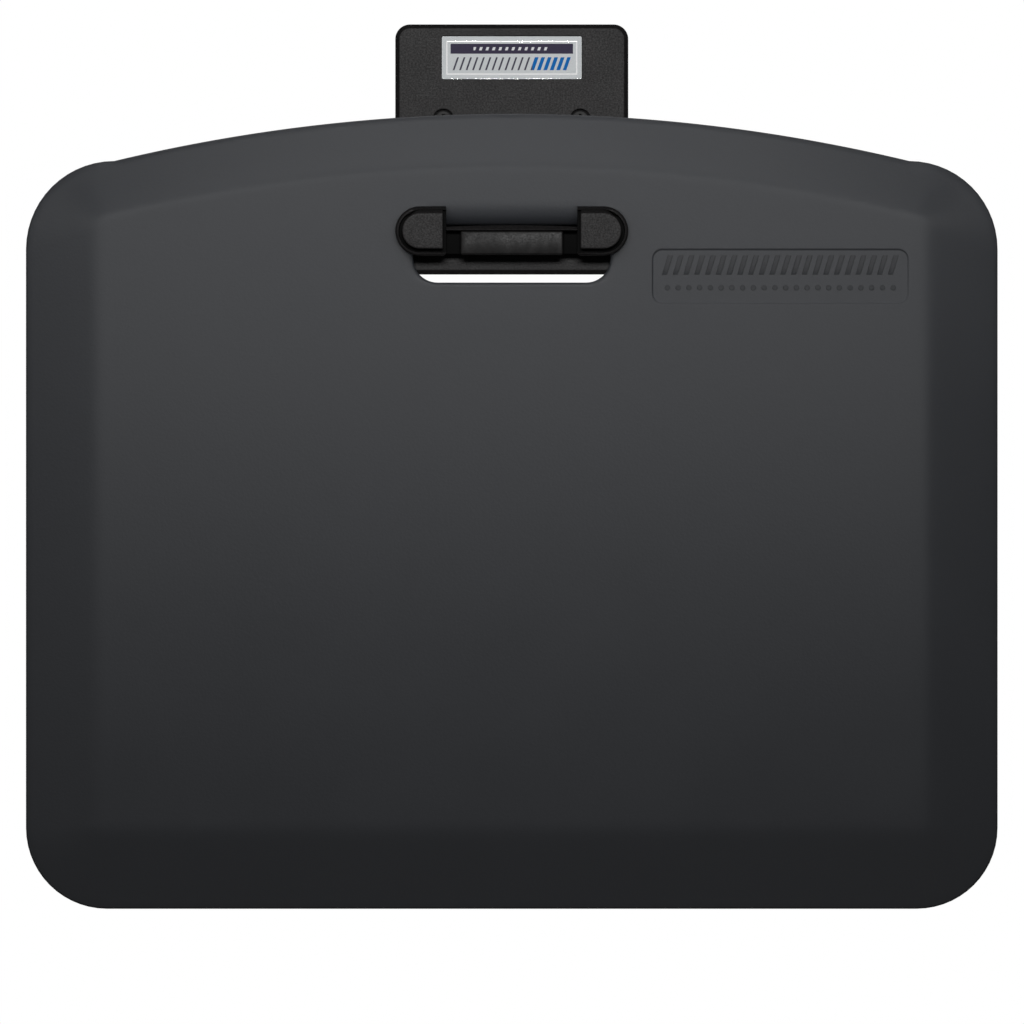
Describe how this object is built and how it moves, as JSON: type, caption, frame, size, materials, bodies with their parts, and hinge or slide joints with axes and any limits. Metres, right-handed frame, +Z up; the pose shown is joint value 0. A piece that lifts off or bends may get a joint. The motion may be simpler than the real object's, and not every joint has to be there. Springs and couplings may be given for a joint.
{
  "type": "anti-fatigue mat on a wall bracket",
  "caption": "Bevelled standing mat with an arched top and a hand slot, hung on a wall plate whose eared hook passes through the slot.",
  "frame": {"origin": "middle of the wall plate's back face, which is also the middle of the wall screws' pattern", "axes": "+X along the wall to the viewer's right, +Y into the wall, +Z up"},
  "size_m": [0.66, 0.064, 0.601],
  "materials": {
    "mat_foam": "satin polyurethane skin with a fine grain",
    "bracket_plastic": "black, fine sand texture",
    "pad_rubber": "black, mottled matt",
    "badge_metal": "printed, satin",
    "badge_clear": "clear resin dome",
    "black_screw": "black oxide, satin",
    "zinc_screw": "zinc plated"
  },
  "bodies": {
    "bracket": {"wall_plate": "bracket_plastic", "hook_body": "bracket_plastic", "saddle_pad": "pad_rubber", "ear_cap_left": "bracket_plastic", "ear_cap_right": "bracket_plastic", "badge_plate": "badge_metal", "badge_dome": "badge_clear", "wall_screw_1": "black_screw", "wall_screw_2": "black_screw", "wall_screw_3": "black_screw", "wall_screw_4": "black_screw", "hook_screw_1": "zinc_screw", "hook_screw_2": "zinc_screw", "hook_screw_3": "zinc_screw", "hook_screw_4": "zinc_screw"},
    "mat": {"mat": "mat_foam"}
  },
  "joints": [
    {"name": "mat_lift", "type": "slide", "parent": "bracket", "child": "mat", "axis": [0, 0, 1], "range_m": [0, 0.0184]}
  ]
}
